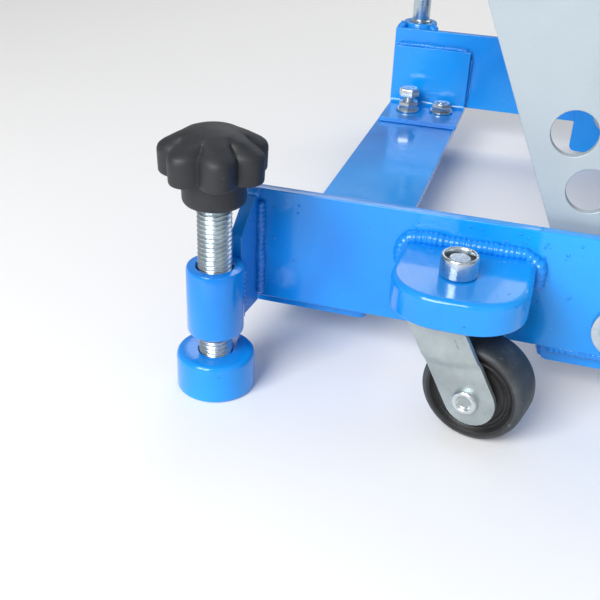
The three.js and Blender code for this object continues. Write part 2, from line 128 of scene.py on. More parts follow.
class Finish:
    def __init__(self, name):
        self.material = bpy.data.materials.new(name)
        self.material.use_nodes = True
        self.tree = self.material.node_tree
        self.tree.nodes.clear()
        self.place = self.node("ShaderNodeTexCoord", {}, {}, "Object")

    def node(self, kind, settings, sockets, output=0):
        made = self.tree.nodes.new(kind)
        for key, value in settings.items():
            setattr(made, key, value)
        for key, value in sockets.items():
            if isinstance(value, Wire):
                self.tree.links.new(value.socket, made.inputs[key])
            else:
                made.inputs[key].default_value = value
        return Wire(self, made.outputs[output])

    def stretched(self, scale):
        return self.node("ShaderNodeMapping", {}, {"Vector": self.place, "Scale": scale})

    def grain(self, scale, detail, rough, bend=0.0, vector=None):
        return self.node("ShaderNodeTexNoise", {}, {
            "Vector": vector or self.place, "Scale": scale, "Detail": detail, "Roughness": rough,
            "Distortion": bend})

    def between(self, value, low, high, start=0.0, end=1.0):
        return self.node("ShaderNodeMapRange", {"clamp": True}, {
            "Value": value, "From Min": low, "From Max": high, "To Min": start, "To Max": end})

    def blend(self, factor, a, b):
        return self.node("ShaderNodeMix", {"data_type": "RGBA"}, {
            0: factor, 6: a if isinstance(a, Wire) else (*a, 1), 7: b if isinstance(b, Wire) else (*b, 1)}, 2)

    def bump(self, height, distance, strength):
        return self.node("ShaderNodeBump", {}, {"Height": height, "Distance": distance, "Strength": strength})

    def facing(self, axis):  # the surface normal's part along one axis of the object
        normal = self.node("ShaderNodeNewGeometry", {}, {}, "Normal")
        return self.node("ShaderNodeSeparateXYZ", {}, {0: normal}, axis)

    def done(self, sockets):
        shader = self.node("ShaderNodeBsdfPrincipled", {}, sockets)
        out = self.tree.nodes.new("ShaderNodeOutputMaterial")
        self.tree.links.new(shader.socket, out.inputs["Surface"])
        return self.material


def enamelFinish(name, deep=(0.002, 0.190, 0.66), bright=(0.006, 0.345, 0.92), peel=1.0):
    f = Finish(name)
    broad = f.grain(8, 2, 0.5)
    runs = f.grain(34, 3, 0.5, 0.6, f.stretched((1, 1, 0.35)))
    fine = f.grain(620, 2, 0.5)
    specks = f.between(f.grain(330, 2, 0.6), 0.735, 0.765)
    rubs = f.between(f.grain(55, 6, 0.7, 1.2), 0.62, 0.74)
    dust = f.between(f.grain(18, 5, 0.65), 0.50, 0.82) * 0.07
    colour = f.blend(f.between(broad, 0.3, 0.7), deep, bright)
    colour = f.blend(f.between(runs, 0.35, 0.75) * 0.30, colour, bright)
    colour = f.blend(dust, colour, (0.22, 0.40, 0.62))
    colour = f.blend(rubs * 0.18, colour, (0.03, 0.34, 0.84))
    colour = f.blend(specks * 0.75, colour, (0.02, 0.05, 0.10))
    rough = f.between(runs, 0.3, 0.75, 0.15, 0.27) + dust * 0.9 + rubs * 0.12 + specks * 0.3
    height = runs * 0.8 + fine * 0.10 * peel - specks * 0.25
    return f.done({"Base Color": colour, "Roughness": rough, "Specular IOR Level": 0.3,
                   "Coat Weight": 0.55 - specks * 0.5, "Coat Roughness": 0.07,
                   "Normal": f.bump(height, 0.0011, 0.6)})


def silverFinish():
    f = Finish("silver_paint")
    broad = f.grain(9, 3, 0.55)
    cloud = f.grain(45, 4, 0.6)
    flake = f.grain(1700, 1, 0.5)
    scuffs = f.between(f.grain(90, 5, 0.7, 1.5, f.stretched((1, 1, 0.15))), 0.66, 0.76)
    specks = f.between(f.grain(240, 3, 0.6), 0.73, 0.76)
    colour = f.blend(f.between(broad, 0.3, 0.7), (0.33, 0.392, 0.434), (0.395, 0.462, 0.504))
    colour = f.blend(f.between(cloud, 0.3, 0.75) * 0.30, colour, (0.45, 0.51, 0.545))
    colour = f.blend(scuffs * 0.35, colour, (0.36, 0.42, 0.46))
    colour = f.blend(specks * 0.55, colour, (0.22, 0.26, 0.29))
    rough = f.between(cloud, 0.3, 0.75, 0.36, 0.48) + scuffs * 0.10
    height = flake * 0.25 + cloud * 0.6 - scuffs * 0.3
    return f.done({"Base Color": colour, "Metallic": 0.25, "Roughness": rough,
                   "Normal": f.bump(height, 0.0004, 0.6)})


def metalFinish(name, dark, light, rough, spread=0.12, mottle=60, depth=0.00025, metal=1.0, stain=None):
    f = Finish(name)
    broad = f.grain(mottle, 4, 0.6)
    fine = f.grain(900, 2, 0.5, 0, f.stretched((1, 1, 0.25)))
    marks = f.between(f.grain(170, 4, 0.7, 1.0), 0.63, 0.72)
    colour = f.blend(f.between(broad, 0.32, 0.7), dark, light)
    if stain:
        colour = f.blend(f.between(f.grain(26, 5, 0.65), 0.52, 0.72) * 0.5, colour, stain)
    colour = f.blend(marks * 0.35, colour, tuple(c * 0.5 for c in dark))
    roughness = f.between(broad, 0.3, 0.7, rough, rough + spread) + marks * 0.15
    return f.done({"Base Color": colour, "Metallic": metal, "Roughness": roughness,
                   "Normal": f.bump(broad * 0.7 + fine * 0.3 - marks * 0.3, depth, 0.6)})


def plasticFinish():
    f = Finish("black_plastic")
    grain = f.grain(1500, 2, 0.55)
    broad = f.grain(40, 4, 0.6)
    scuffs = f.between(f.grain(210, 5, 0.7, 1.3), 0.64, 0.74)
    dust = f.between(f.facing("Z"), 0.2, 0.9) * f.between(broad, 0.35, 0.7)
    colour = f.blend(f.between(broad, 0.3, 0.7), (0.011, 0.012, 0.0145), (0.017, 0.0185, 0.022))
    colour = f.blend(dust * 0.22, colour, (0.060, 0.065, 0.070))
    colour = f.blend(scuffs * 0.30, colour, (0.14, 0.15, 0.155))
    return f.done({"Base Color": colour, "Roughness": f.between(broad, 0.3, 0.7, 0.46, 0.58) + scuffs * 0.12,
                   "Normal": f.bump(grain * 0.6 + broad * 0.5, 0.00035, 0.5)})


def rubberFinish(name, dark, pale, dust, reach):
    f = Finish(name)
    broad = f.grain(60, 5, 0.6)
    fine = f.grain(800, 3, 0.6)
    bits = f.between(f.grain(300, 4, 0.7), 0.62, 0.72)
    film = f.between(f.grain(35, 6, 0.7, 0.8), reach, reach + 0.28)
    colour = f.blend(f.between(broad, 0.3, 0.7), dark, pale)
    colour = f.blend(film * 0.75, colour, dust)
    colour = f.blend(bits * 0.45, colour, tuple(min(1, c * 1.8) for c in dust))
    return f.done({"Base Color": colour, "Roughness": f.between(broad, 0.3, 0.7, 0.42, 0.58) + film * 0.22,
                   "Normal": f.bump(fine * 0.4 + broad * 0.4 + bits * 0.5, 0.0005, 0.6)})


def floorFinish():
    f = Finish("floor")
    cloud = f.grain(1.5, 3, 0.5)
    return f.done({"Base Color": f.blend(cloud, (0.90, 0.90, 0.90), (0.93, 0.93, 0.93)), "Roughness": 0.7})


enamel = enamelFinish("blue_enamel")
# darker copy of the blue enamel: painted shade, used for the welds in the corners between parts, the weld
# spatter and the pedal ribs
enamelPaintedShade = enamelFinish("blue_enamel_painted_shade", (0.002, 0.170, 0.62), (0.006, 0.290, 0.86), 0.5)
silver = silverFinish()
zinc = metalFinish("zinc_plate", (0.50, 0.57, 0.61), (0.74, 0.80, 0.83), 0.22,
                   stain=(0.55, 0.52, 0.44))
zincThread = metalFinish("zinc_thread", (0.46, 0.55, 0.60), (0.68, 0.76, 0.80), 0.26, 0.10, 90, 0.0001)
stamped = metalFinish("stamped_steel", (0.31, 0.355, 0.365), (0.45, 0.505, 0.515), 0.38, 0.14, 45,
                      0.0005, 0.8, (0.30, 0.31, 0.28))
chrome = metalFinish("chrome_rod", (0.72, 0.75, 0.78), (0.86, 0.88, 0.90), 0.07, 0.05, 40, 0.00005)
darkSteel = metalFinish("dark_steel", (0.040, 0.044, 0.050), (0.085, 0.090, 0.098), 0.36, 0.16, 50,
                        0.0004, 0.7, (0.10, 0.085, 0.07))
plastic = plasticFinish()
wheelBlack = rubberFinish("wheel_black", (0.008, 0.008, 0.009), (0.016, 0.016, 0.017),
                          (0.040, 0.042, 0.045), 0.56)
treadDust = rubberFinish("tread_dusty", (0.018, 0.021, 0.024), (0.034, 0.040, 0.046),
                         (0.085, 0.104, 0.120), 0.46)
padRubber = rubberFinish("pad_rubber", (0.012, 0.013, 0.014), (0.024, 0.025, 0.027),
                         (0.070, 0.072, 0.075), 0.52)
print("finishes made")


def finishMesh(name, bm, finishes, body, replaced=(), sharp=32, weighted=False):
    mesh = bpy.data.meshes.new(name)
    bm.to_mesh(mesh)
    bm.free()
    mesh.polygons.foreach_set("use_smooth", [True] * len(mesh.polygons))
    mesh.set_sharp_from_angle(angle=math.radians(sharp))
    for finish in finishes if isinstance(finishes, (list, tuple)) else [finishes]:
        mesh.materials.append(finish)
    piece = bpy.data.objects.new(name, mesh)
    bpy.context.scene.collection.objects.link(piece)
    if weighted:
        flat = piece.modifiers.new("flat faces", "WEIGHTED_NORMAL")
        flat.keep_sharp = True
        flat.weight = 60
    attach(piece, body)
    if replaced:
        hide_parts(*replaced)


def clean(bm, dist=2e-6):
    bmesh.ops.remove_doubles(bm, verts=bm.verts, dist=dist)
    bmesh.ops.recalc_face_normals(bm, faces=bm.faces)


def bevelEdges(bm, edges, width, segments):
    bmesh.ops.bevel(bm, geom=edges, offset=width * mm, offset_type="OFFSET", segments=segments,
                    profile=0.5, affect="EDGES", clamp_overlap=True, material=-1)


def bevelSharp(bm, width, angle=30):
    folds = [e for e in bm.edges if len(e.link_faces) == 2]
    bevelEdges(bm, [e for e in folds if e.calc_face_angle(0) > math.radians(angle)], width, 3)


def copied(node):  # a CAD node with its doubled points and split flat faces joined
    bm = bmesh.new()
    bm.from_mesh(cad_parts[node].data)
    bmesh.ops.remove_doubles(bm, verts=bm.verts, dist=5e-6)
    bmesh.ops.dissolve_limit(bm, angle_limit=math.radians(0.5), verts=bm.verts, edges=bm.edges,
                             use_dissolve_boundaries=False)
    return bm


def splitManySided(bm):
    bmesh.ops.triangulate(bm, faces=[f for f in bm.faces if len(f.verts) > 4])


# each axis with a direction square to it
axes = {
    "x": (Vector((1, 0, 0)), Vector((0, 1, 0))),
    "y": (Vector((0, 1, 0)), Vector((0, 0, 1))),
    "z": (Vector((0, 0, 1)), Vector((1, 0, 0))),
}


# a profile of (radius, height) pairs in millimetres, spun round an axis through a point
def spun(profile, axis, centre, steps, ring=False, bm=None):
    along, across = axes[axis] if isinstance(axis, str) else axis
    own = bmesh.new()
    verts = [own.verts.new(centre + across * (r * mm) + along * (h * mm)) for r, h in profile]
    edges = [own.edges.new(pair) for pair in zip(verts, verts[1:])]
    if ring:
        edges.append(own.edges.new((verts[-1], verts[0])))
    bmesh.ops.spin(own, geom=verts + edges, cent=centre, axis=along, dvec=(0, 0, 0), angle=math.tau,
                   steps=steps, use_merge=True, use_normal_flip=False, use_duplicate=False)
    clean(own)
    return pour(own, bm)


def pour(own, bm):  # adds one bmesh to another
    if bm is None:
        return own
    spare = bpy.data.meshes.new("spare")
    own.to_mesh(spare)
    own.free()
    bm.from_mesh(spare)
    bpy.data.meshes.remove(spare)
    return bm


def block(low, high, bm, easing=0.0, segments=3):
    own = bmesh.new()
    low, high = Vector(low), Vector(high)
    size = high - low
    place = Matrix.Translation((low + high) / 2) @ Matrix.Diagonal((*size, 1))
    bmesh.ops.create_cube(own, size=1.0, matrix=place)
    if easing:
        bevelEdges(own, own.edges[:], easing, segments)
    return pour(own, bm)


def hexPrism(centre, z0, z1, radius, turn, bm):
    own = bmesh.new()
    place = Matrix.Translation(centre + Vector((0, 0, (z0 + z1) / 2 * mm))) @ Matrix.Rotation(turn, 4, "Z")
    bmesh.ops.create_cone(own, cap_ends=True, segments=6, radius1=radius * mm, radius2=radius * mm,
                          depth=(z1 - z0) * mm, matrix=place)
    bevelEdges(own, [e for e in own.edges if abs(e.verts[0].co.z - e.verts[1].co.z) < 1e-6], 0.6, 2)
    return pour(own, bm)


# copy of a CAD node with its edges eased, or left as they are at width 0
def softened(node, finish, body, width):
    bm = copied(node)
    if width:
        bevelSharp(bm, width)
    splitManySided(bm)
    finishMesh(node + "_skin", bm, finish, body, [node], 32, True)


beadShape = {
    "spacing": 0.7, "ripple": 0.09, "unevenness": 0.30, "wander": 0.5, "roughness": 0.14,
    "taperStart": 0.40, "taperStep": 0.15,
}


# rippled weld bead along a path of millimetre points, its ends tapered unless the path is closed
# by default the bead takes the darker enamel copy, whose colour is painted shade
def weld(name, path, radius, body="base", finish=enamelPaintedShade, pitch=2.8):
    points = [at(*p) for p in path]
    spots = []
    for a, b in zip(points, points[1:]):
        count = max(2, round((b - a).length / (beadShape["spacing"] * mm)))
        spots += [a.lerp(b, i / count) for i in range(count)]
    spots.append(points[-1])
    closed = (points[0] - points[-1]).length < 1e-6
    last = len(spots) - 1
    near = [spots[max(0, i - 3):i + 4] for i in range(last + 1)]
    even = [sum(group, Vector()) / len(group) for group in near]
    heading = (even[1] - even[0]).normalized()
    turn = heading.to_track_quat("Z", "Y")
    frames, run = [], 0.0
    for i, spot in enumerate(even):
        ahead = (even[min(i + 1, last)] - even[max(i - 1, 0)]).normalized()
        turn = heading.rotation_difference(ahead) @ turn
        heading = ahead
        run += (spot - even[i - 1]).length / mm if i else 0
        ripple = beadShape["ripple"] * math.sin(run / pitch * math.tau)
        size = radius * (1 + ripple + beadShape["unevenness"] * noise.noise(spot / mm * 0.10))
        if not closed:
            size *= min(1, beadShape["taperStart"] + min(i, last - i) * beadShape["taperStep"])
        drift = noise.noise_vector(spot / mm * 0.07) * beadShape["wander"] * mm
        frames.append(Matrix.LocRotScale(spot + drift, turn, Vector((size, size, 1))))
    bm = bmesh.new()
    bmesh.ops.create_circle(bm, cap_ends=False, segments=12, radius=mm, matrix=frames[0])
    edge = bm.edges[:]
    for old, new in zip(frames, frames[1:]):
        grown = bmesh.ops.extrude_edge_only(bm, edges=edge)["geom"]
        ring = {g for g in grown if isinstance(g, bmesh.types.BMVert)}
        edge = [g for g in grown if isinstance(g, bmesh.types.BMEdge) and set(g.verts) <= ring]
        bmesh.ops.transform(bm, matrix=new @ old.inverted(), verts=list(ring))
    bmesh.ops.holes_fill(bm, edges=bm.edges, sides=0)
    clean(bm, 1e-7)
    for v in bm.verts:
        v.co += v.normal * (noise.noise(v.co / mm * 0.42) * radius * beadShape["roughness"] * mm)
    finishMesh(name, bm, finish, body, (), 70)


threadShape = {"rowsPerTurn": 9, "flank": 2.6, "crest": 0.15, "chamferDepth": 0.16, "chamferSlope": 0.8}


# solid rod with a helical thread, which climbs anticlockwise, and a chamfer at each end
def threaded(centre, z0, z1, radius, pitch, depth, steps, bm=None):
    rows = max(4, round((z1 - z0) / pitch * threadShape["rowsPerTurn"]))
    heights = [z0 + (z1 - z0) * i / rows for i in range(rows + 1)]
    profile = [(0, z0)] + [(radius, h) for h in heights] + [(0, z1)]
    own = spun(profile, "z", centre, steps)
    for v in own.verts:
        away = v.co - centre
        flat = Vector((away.x, away.y, 0))
        if flat.length < radius * 0.5 * mm:
            continue
        h = away.z / mm
        phase = (h / pitch - math.atan2(flat.y, flat.x) / math.tau) % 1
        flank = min(1, max(0, abs(phase - 0.5) * threadShape["flank"] - threadShape["crest"]))
        chamfer = radius * threadShape["chamferDepth"] - min(h - z0, z1 - h) * threadShape["chamferSlope"]
        v.co -= flat.normalized() * (max(depth * flank, chamfer) * mm)
    bmesh.ops.recalc_face_normals(own, faces=own.faces)
    return pour(own, bm)


def roundedProfile(points, radius, steps):  # eases the inner corners of a profile
    out = [points[0]]
    for before, here, after in zip(points, points[1:], points[2:]):
        bend = Vector(here)
        a, b = Vector(before) - bend, Vector(after) - bend
        reach = min(radius, a.length * 0.45, b.length * 0.45)
        start, end = bend + a.normalized() * reach, bend + b.normalized() * reach
        for i in range(steps + 1):
            t = i / steps
            out.append(tuple(start * (1 - t) ** 2 + bend * 2 * t * (1 - t) + end * t ** 2))
    return out + [points[-1]]


def collarProfile(inner, outer, half, easing):
    square = [(inner, -half), (outer, -half), (outer, half), (inner, half), (inner, -half)]
    return roundedProfile(square, easing, 3)[:-1]


# pin with a dimple in each end and a chamfered rim
def pinProfile(radius, half, dimple, dimpleDepth, flat, chamfer):
    return [(0, -half + dimpleDepth), (dimple, -half), (flat, -half), (radius, -half + chamfer),
            (radius, half - chamfer), (flat, half), (dimple, half), (0, half - dimpleDepth)]


def mirrored(half):  # a closed wheel section from its one side
    return half + [(r, -h) for r, h in reversed(half)]


def dustTread(wheel, hub, along, radius):  # second finish beyond a radius
    for face in wheel.faces:
        away = face.calc_center_median() - hub
        away -= along * away.dot(along)
        face.material_index = 1 if away.length > radius * mm else 0


lights = {
    "key": {"place": (-380, -1200, 900), "target": (180, 60, 20), "size": (0.9, 0.8), "watts": 27},
    "fill": {"place": (1000, -900, 700), "target": (200, 100, 30), "size": (1.2, 1.0), "watts": 1.5},
    "back": {"place": (200, 1300, 1000), "target": (200, 200, 30), "size": (1.6, 0.7), "watts": 7},
}


def addFloor():
    grid = bmesh.new()
    bmesh.ops.create_grid(grid, x_segments=8, y_segments=8, size=6)
    mesh = bpy.data.meshes.new("floor")
    grid.to_mesh(mesh)
    grid.free()
    mesh.materials.append(floorFinish())
    floor = bpy.data.objects.new("floor", mesh)
    bpy.context.scene.collection.objects.link(floor)


addCamera()
addWorld()
for name, lamp in lights.items():
    addLight(name, at(*lamp["place"]), at(*lamp["target"]), lamp["size"], lamp["watts"])
addFloor()
print("camera, lights and floor placed")


# steel plates with eased edges: the width of the easing of each node
eased = [
    (enamel, "base", "blue_enamel", {
        "rail_front": 0.9, "rail_rear": 0.9, "doubler_front": 0.8, "doubler_rear": 0.8,
        "cross_plate": 1.0, "angle_front": 1.0, "angle_rear": 1.0, "end_member": 1.5,
        "gusset_front": 0.9, "ram_cradle": 0.8,
    }),
    (enamel, "platform", "blue_enamel", {
        "platform_bar_front": 1.0, "platform_bar_rear": 1.0,
        "saddle_beam_left": 1.0, "saddle_beam_right": 1.0,
    }),
    (silver, "arms_a", "silver_paint", {"arm_a_front": 0.5, "arm_a_rear": 0.5}),
    (silver, "arms_b", "silver_paint", {"arm_b_front": 0.5, "arm_b_rear": 0.5}),
    (darkSteel, "base", "dark_steel", {"pump_block": 1.2}),
    (enamel, "pedal", "blue_enamel", {"pump_pedal": 1.0}),
]
for finish, body, slotName, widths in eased:
    for node, width in widths.items():
        softened(node, finish, body, width)
print("plates eased")


# welds on the frame: the path and radius of each bead
beads = {
    "weld_gusset_rail": ([(8.6, -1.6, 59), (8.8, -1.8, 40), (8.6, -1.6, 20), (8.6, -1.4, 1)], 2.7),
    "weld_gusset_top": ([(1, -2.2, 63), (5, -3.2, 63.6), (10, -2.0, 63.2)], 3.2),
    "weld_sleeve_right": ([(8.4, -30.6, 1), (8.6, -30.8, 20), (8.4, -30.6, 37)], 2.3),
    "weld_sleeve_left": ([(-0.4, -28.0, 1), (-0.6, -28.0, 20), (-0.4, -28.0, 37)], 1.9),
    "weld_bracket_front": ([(86.8, -1.8, 34), (86.8, -2.0, 47), (91, -2.2, 52), (120, -2.6, 52.4),
                            (150, -2.2, 52), (157.2, -2.0, 47), (157.2, -1.8, 34)], 3.6),
    "weld_bracket_rear": ([(156.8, 401.3, 34), (156.8, 401.4, 47), (161, 401.6, 52), (190, 401.8, 52.2),
                           (221, 401.6, 52), (227.2, 401.4, 47), (227.2, 401.3, 34)], 3.4),
    "weld_angle_rear_top": ([(4, 390.4, 51.8), (24, 390.8, 52.4), (40, 390.4, 51.6), (54, 390.8, 52.2),
                             (68, 390.6, 51.4)], 2.1),
    "weld_angle_rear_side": ([(70.2, 392.0, 46), (70.2, 392.0, 30), (70.2, 392.0, 8)], 1.3),
    "weld_angle_front_top": ([(4, 8.8, 51.8), (24, 8.5, 52.4), (40, 8.8, 51.6), (54, 8.5, 52.2),
                              (68, 8.6, 51.4)], 2.1),
    "weld_lip": ([(166, 3.2, -1.4), (190, 3.4, -1.8), (240, 3.2, -1.4), (300, 3.2, -1.5),
                  (380, 3.2, -1.4), (460, 3.2, -1.5), (540, 3.2, -1.4)], 2.5),
    "weld_lip_end": ([(165.2, 7.2, 2), (164.8, 7.8, -3.5), (165.4, 8.2, -7.6), (168.0, 8.6, -11.0)], 2.5),
    "weld_lug": ([(171, 396.4, -1.2), (200, 396.4, -1.6), (245, 396.4, -1.3), (300, 396.4, -1.2),
                  (420, 396.4, -1.2), (540, 396.4, -1.2)], 2.2),
    "weld_rear_sleeve_left": ([(2.6, 400.2, 60), (3.0, 401.2, 65.4), (8.4, 402.4, 67.4)], 3.4),
    "weld_rear_sleeve_right": ([(33.4, 400.2, 60), (33.0, 401.2, 65.0), (28.0, 402.4, 67.2)], 3.6),
    "weld_rear_sleeve_low": ([(32.4, 401.6, 58), (32.6, 401.6, 30), (32.4, 401.6, 3)], 2.2),
    "weld_rear_sleeve_side": ([(3.6, 401.6, 58), (3.4, 401.6, 30), (3.6, 401.6, 3)], 2.2),
    "weld_tube_front": ([(554.4, 7.2, 2), (554.4, 7.2, 40.6), (617.0, 7.2, 40.6), (617.0, 7.2, 2)], 2.2),
    "weld_tube_rear": ([(554.4, 392.3, 2), (554.4, 392.3, 40.6), (617.0, 392.3, 40.6),
                        (617.0, 392.3, 2)], 2.2),
    "weld_cradle_front": ([(299, 12.6, 0.8), (325, 12.8, 1.0), (351, 12.6, 0.8)], 2.0),
    "weld_cradle_rear": ([(299, 386.9, 0.8), (325, 386.7, 1.0), (351, 386.9, 0.8)], 2.0),
    "weld_cradle_stand_left": ([(299.2, 169, 0.9), (299.0, 200, 1.1), (299.2, 231, 0.9)], 2.0),
    "weld_cradle_stand_right": ([(350.8, 169, 0.9), (351.0, 200, 1.1), (350.8, 231, 0.9)], 2.0),
}
for name, (path, radius) in beads.items():
    weld(name, path, radius)

beamWeld = {
    "x": {"left": 128.0, "right": 318.0}, "y": {"front": 20.0, "rear": 379.5},
    "reach": 24, "endHeight": 345.4, "middleHeight": 345.8, "radius": 1.5,
}
for side, x in beamWeld["x"].items():
    for end, y in beamWeld["y"].items():
        low, high, reach = beamWeld["endHeight"], beamWeld["middleHeight"], beamWeld["reach"]
        weld("weld_beam_%s_%s" % (side, end), [(x - reach, y, low), (x, y, high), (x + reach, y, low)],
             beamWeld["radius"], "platform")


# droplets thrown off while welding, stuck under the enamel: areas as ranges of x and z
spatter = {
    "count": 34, "size": (0.35, 0.95), "squash": 0.55, "y": -0.1,
    "above": ((92, 170), (53.5, 62.5)),
    "beside": ((158, 176), (22, 60)), "besideShare": 0.45,
    "gusset": ((12, 30), (8, 60)), "gussetShare": 0.2,
}


def drawnSpot(area):
    return random.uniform(*area[0]), random.uniform(*area[1])


def addSpatter():
    bm = bmesh.new()
    flattened = Matrix.Diagonal((1, spatter["squash"], 1, 1))
    for i in range(spatter["count"]):
        x, z = drawnSpot(spatter["above"])
        if random.random() < spatter["besideShare"]:
            x, z = drawnSpot(spatter["beside"])
        if random.random() < spatter["gussetShare"]:
            x, z = drawnSpot(spatter["gusset"])
        size = random.uniform(*spatter["size"])
        bmesh.ops.create_uvsphere(bm, u_segments=10, v_segments=6, radius=size * mm,
                                  matrix=Matrix.Translation(at(x, spatter["y"], z)) @ flattened)
    # spatter in the darker enamel copy, whose colour is painted shade
    finishMesh("weld_spatter", bm, enamelPaintedShade, "base", (), 80)


addSpatter()
print("welds laid")


# bolts with a nut and a washer on either side of the plates; one carries a second nut
bolt = {
    "spots": {"bolt_rear_left": (22, 366.0), "bolt_rear_right": (51, 372.0),
              "bolt_front_left": (22, 44.0), "bolt_front_right": (51, 46.0)},
    "tallOne": "bolt_rear_left",
    "radius": 4.95, "pitch": 1.5, "threadDepth": 0.75, "low": -20, "top": 9.4, "tallTop": 19.6,
    "washer": [(5.3, 0.3), (10.2, 0.3), (10.5, 0.6), (10.5, 1.7), (10.1, 2.1), (5.3, 2.1)],
    "washersBetween": -10.2,
    "nutRadius": 9.2, "lowNut": (-18.4, -12.2), "nut": (2.0, 8.0), "tallLowNut": (2.0, 9.0),
    "nutFace": [(0, 8.0), (7.4, 8.0), (7.0, 8.7), (0, 8.9)],
    "topNutRadius": 8.9, "topNut": (13.2, 20.0),
    "topNutFace": [(0, 20.0), (7.2, 20.0), (6.7, 20.6), (0, 20.8)],
}


def addBolt(node, x, y):
    spot = at(x, y, 0)
    tall = node == bolt["tallOne"]
    bm = threaded(spot, bolt["low"], bolt["tallTop" if tall else "top"], bolt["radius"], bolt["pitch"],
                  bolt["threadDepth"], 32)
    spun(bolt["washer"], "z", spot, 40, True, bm)
    spun([(r, bolt["washersBetween"] - h) for r, h in bolt["washer"]], "z", spot, 40, True, bm)
    hexPrism(spot, *bolt["lowNut"], bolt["nutRadius"], 0.5, bm)
    hexPrism(spot, *bolt["tallLowNut" if tall else "nut"], bolt["nutRadius"], 0.2, bm)
    spun(bolt["nutFace"], "z", spot, 32, False, bm)
    if tall:
        hexPrism(spot, *bolt["topNut"], bolt["topNutRadius"], 0.45, bm)
        spun(bolt["topNutFace"], "z", spot, 32, False, bm)
    clean(bm)
    finishMesh(node + "_hardware", bm, zinc, "base", [node], 30)


for node, (x, y) in bolt["spots"].items():
    addBolt(node, x, y)
print("bolts made")


# levelling feet: pad, sleeve, screw and star knob
feet = {
    "front": {"spot": (-1.5, -43), "hub": 73, "sleeve": 38, "lean": -63.0, "threadTop": 95},
    "rear": {"spot": (18, rearOuter + 15.3), "hub": 94, "sleeve": 68, "lean": -40.0, "threadTop": 70.6},
}
footPad = {
    "easing": 1.2,
    "outline": [(0, -21.4), (9.1, -21.4), (9.1, -12.7), (9.7, -12.1), (17.4, -12.0), (19.2, -12.2),
                (20.4, -13.2), (21, -15.0), (21, -32.6), (20.6, -33.6), (19.6, -34), (0, -34)],
}
footScrew = {
    "low": -21.3, "radius": 8.95, "pitch": 2.5, "threadDepth": 1.35,
    "plainTop": [(0, 69.5), (7.0, 69.5), (7.7, 70.6), (7.7, 116), (0, 116)],
}
knob = {
    "lobes": 7, "lobeDepth": 6.4, "lobeRoundness": 0.5, "hubRadius": 13, "blend": 9, "rimLow": 13.6,
    "easing": 1.5,
    "outline": [(0, 22.6), (9.2, 22.6), (9.2, 0.4), (10.0, 0), (14.6, 0), (16.0, 1.9), (16.4, 12.6),
                (17.4, 13.9), (24.6, 14.1), (27.2, 15.4), (27.6, 27.0), (26.8, 29.2), (24.6, 31.0),
                (18.0, 34.6), (11.0, 37.4), (5.0, 39.0), (0, 39.4)],
}


def addFootPad(end, spot):
    pad = spun(roundedProfile(footPad["outline"], footPad["easing"], 3), "z", spot, 96)
    finishMesh("foot_" + end, pad, enamel, "pad_" + end, ["foot_pad_" + end], 40)


def addSleeve(end, spot, top):
    tube = [(9.5, 1.2), (10.4, 0.1), (13.4, 0.0), (14.6, 0.7), (15, 2.0), (15, top - 1.4),
            (14.4, top - 0.3), (13.2, top), (10.4, top), (9.5, top - 1.0)]
    finishMesh("sleeve_tube_" + end, spun(tube, "z", spot, 80, True), enamel, "base",
               ["sleeve_" + end], 40)


def addFootScrew(end, spot, top):
    screw = threaded(spot, footScrew["low"], top, footScrew["radius"], footScrew["pitch"],
                     footScrew["threadDepth"], 56)
    if end == "rear":
        spun(footScrew["plainTop"], "z", spot, 56, False, screw)
    finishMesh("screw_thread_" + end, screw, zincThread, "screw_" + end,
               ["foot_screw_" + end], 60)


def starLobes(bm, centre, lean):
    for v in bm.verts:
        away = v.co - centre
        r = math.hypot(away.x, away.y) / mm
        if r < knob["hubRadius"] or away.z / mm < knob["rimLow"]:
            continue
        angle = math.atan2(away.y, away.x) - math.radians(lean)
        lobe = (0.5 + 0.5 * math.cos(knob["lobes"] * angle)) ** knob["lobeRoundness"]
        cut = knob["lobeDepth"] * (1 - lobe) * min(1, (r - knob["hubRadius"]) / knob["blend"]) ** 1.3
        v.co.x -= away.x / r * cut
        v.co.y -= away.y / r * cut


def addStarKnob(end, hub, lean):
    bm = spun(roundedProfile(knob["outline"], knob["easing"], 4), "z", hub, 196)
    starLobes(bm, hub, lean)
    bmesh.ops.recalc_face_normals(bm, faces=bm.faces)
    finishMesh("star_knob_" + end, bm, plastic, "screw_" + end, ["knob_" + end], 50)


for end, foot in feet.items():
    spot = at(*foot["spot"], 0)
    addFootPad(end, spot)
    addSleeve(end, spot, foot["sleeve"])
    addFootScrew(end, spot, foot["threadTop"])
    addStarKnob(end, spot + Vector((0, 0, foot["hub"] * mm)), foot["lean"])
print("feet made")


# swivel casters: bracket on the rail, post with its nut, fork, rivets and wheel
casters = {
    "front": {"stem": (120, -32), "out": -1, "face": -0.3, "swivel": -14},
    "rear": {"stem": (190, rearOuter + 32), "out": 1, "face": rearOuter + 0.3, "swivel": 14},
}
bracket = {
    "left": 32, "right": 36, "deep": 59.7, "low": 33, "top": 50, "corner": 27,
    "wall": 5, "hollow": 11, "topEasing": 3.4, "lipEasing": 1.6,
}
casterPost = {
    "nut": [(6.4, 50.4), (9.0, 50.4), (9.4, 50.9), (9.4, 59.9), (9.0, 60.8), (8.3, 61.1), (7.7, 60.9),
            (7.3, 60.0), (7.1, 58.0), (6.4, 57.4)],
    "shank": [(0, 26.2), (8.8, 26.2), (9.0, 26.5), (9.0, 28.8), (8.7, 29.1), (5.95, 29.1), (5.95, 48.8),
              (0, 48.8)],
    "grease": [(5.3, 57.2), (7.2, 57.2), (7.25, 58.3), (6.6, 58.6), (5.6, 58.3)],
    "threadLow": 48.8, "threadTop": 59.2, "threadRadius": 5.9, "pitch": 1.75, "threadDepth": 0.9,
}
